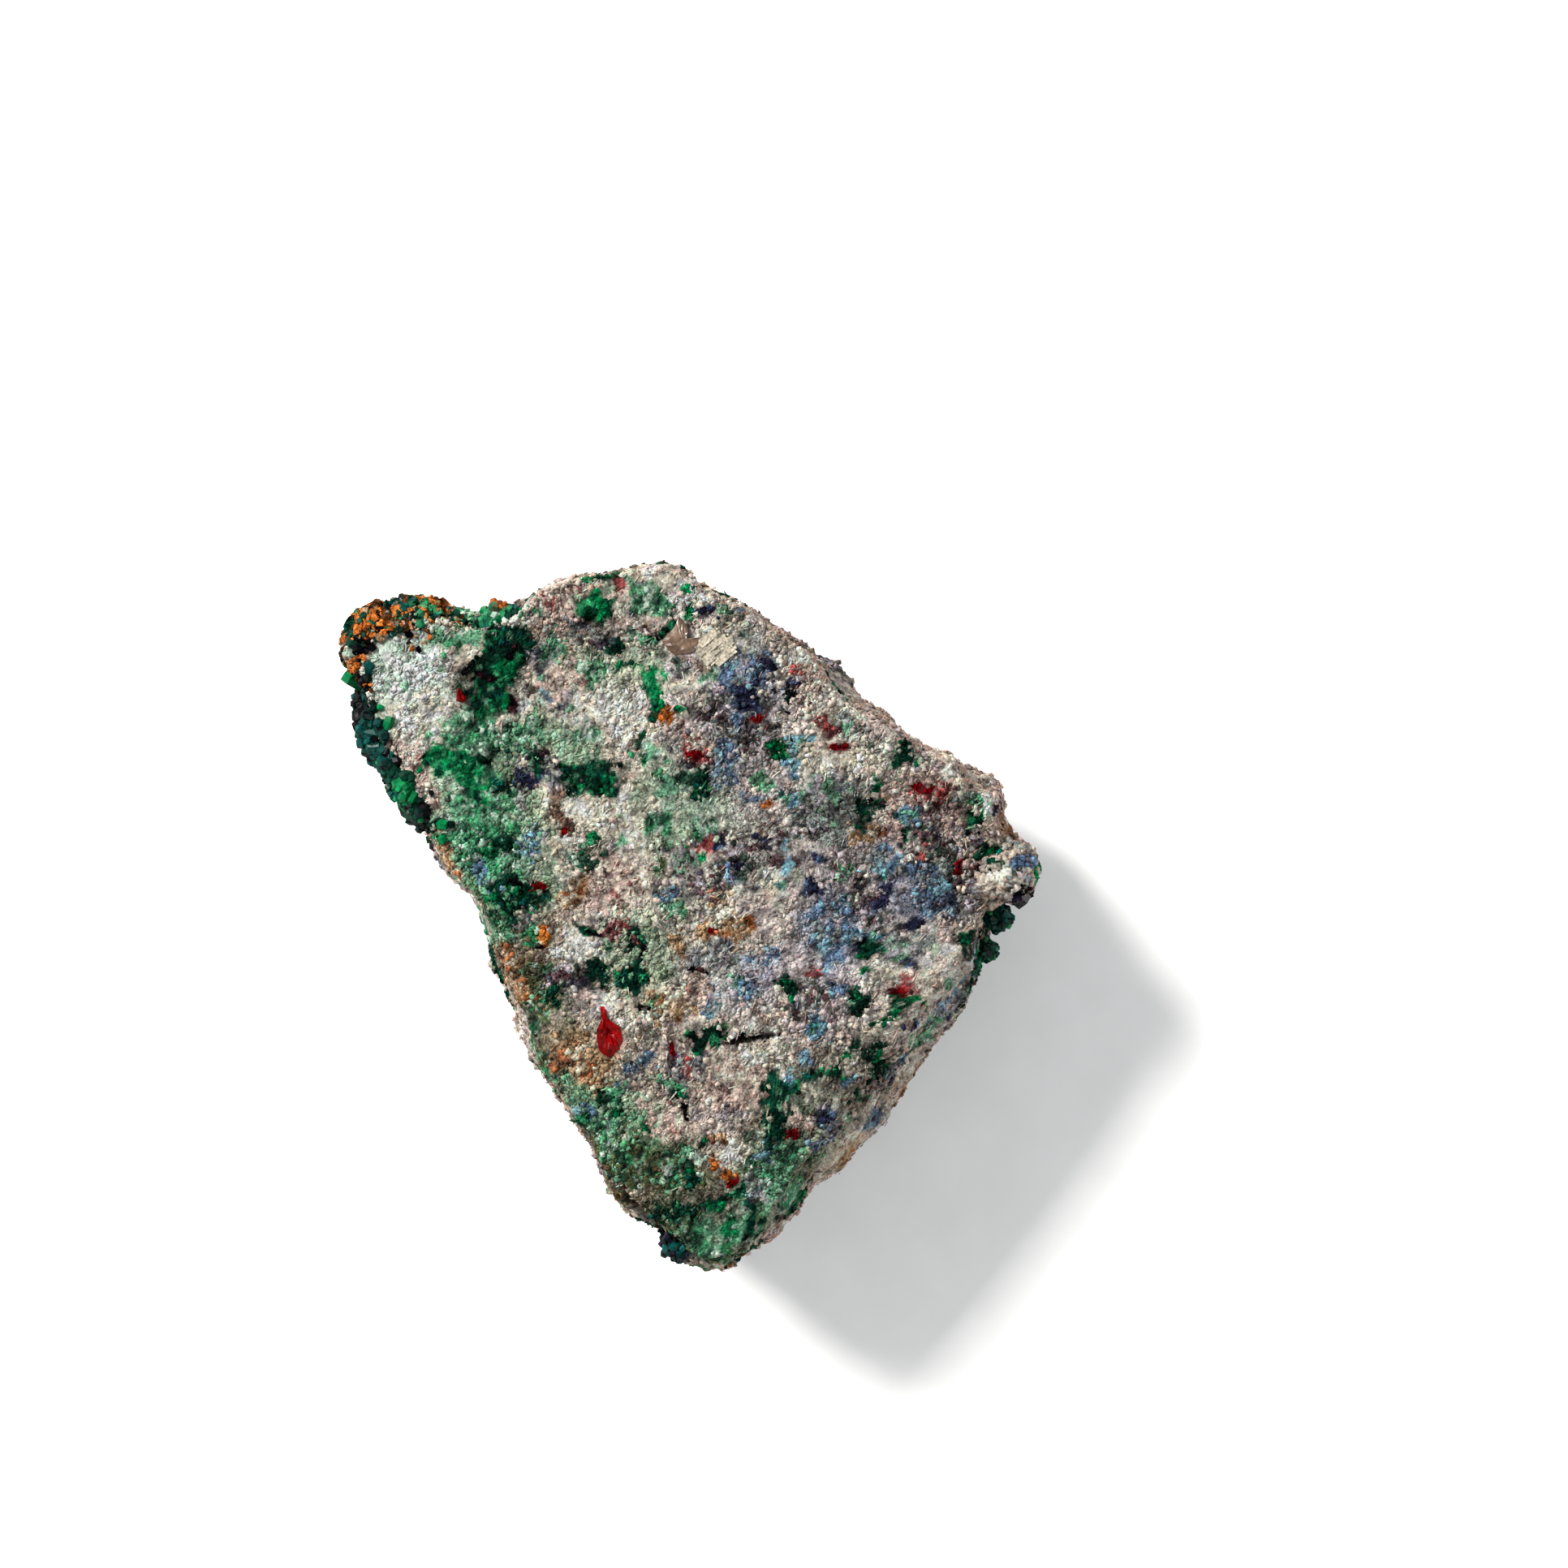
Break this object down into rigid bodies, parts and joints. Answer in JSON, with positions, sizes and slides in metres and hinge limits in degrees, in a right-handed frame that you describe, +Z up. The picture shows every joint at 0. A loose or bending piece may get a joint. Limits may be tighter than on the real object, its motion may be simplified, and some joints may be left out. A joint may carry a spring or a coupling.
{
  "type": "dioptase specimen",
  "caption": "Flat hand specimen of pale granular rock mottled green, blue and red, with dioptase and limonite crusts on its edge; it lies on its flat underside.",
  "frame": {"origin": "on the flat underside, below the middle of the specimen's outline seen from above", "axes": "+Z up out of the broken face, +X towards the blue knob at the right tip, +Y towards the long upper edge"},
  "size_m": [0.061, 0.0612, 0.0231],
  "materials": {
    "rock": "sugary grained, pale with green, blue and red grains",
    "dioptase": "deep teal to near-black glassy crystal",
    "dioptase_green": "bright green glassy crystal",
    "limonite": "earthy orange crust",
    "azurite": "blue and green fine crystal crust",
    "black_crystal": "black glassy crystal",
    "cuprite": "dark red glassy crystal",
    "smoky_crystal": "brown glassy cleavage",
    "calcite": "pearly striated cleavage"
  },
  "bodies": {
    "root": {"matrix_rock": "rock", "dioptase_crust": "dioptase", "dioptase_prism": "dioptase_green", "dioptase_plate": "dioptase", "dioptase_rim": "dioptase_green", "dioptase_patch_upper": "dioptase", "dioptase_patch_lower": "dioptase", "dioptase_tip": "dioptase", "limonite_crust": "limonite", "azurite_knob": "azurite", "black_crystal": "black_crystal", "cuprite_large": "cuprite", "cuprite_upper": "cuprite", "cuprite_lower": "cuprite", "smoky_cleavage": "smoky_crystal", "calcite_cleavage": "calcite"}
  },
  "joints": []
}
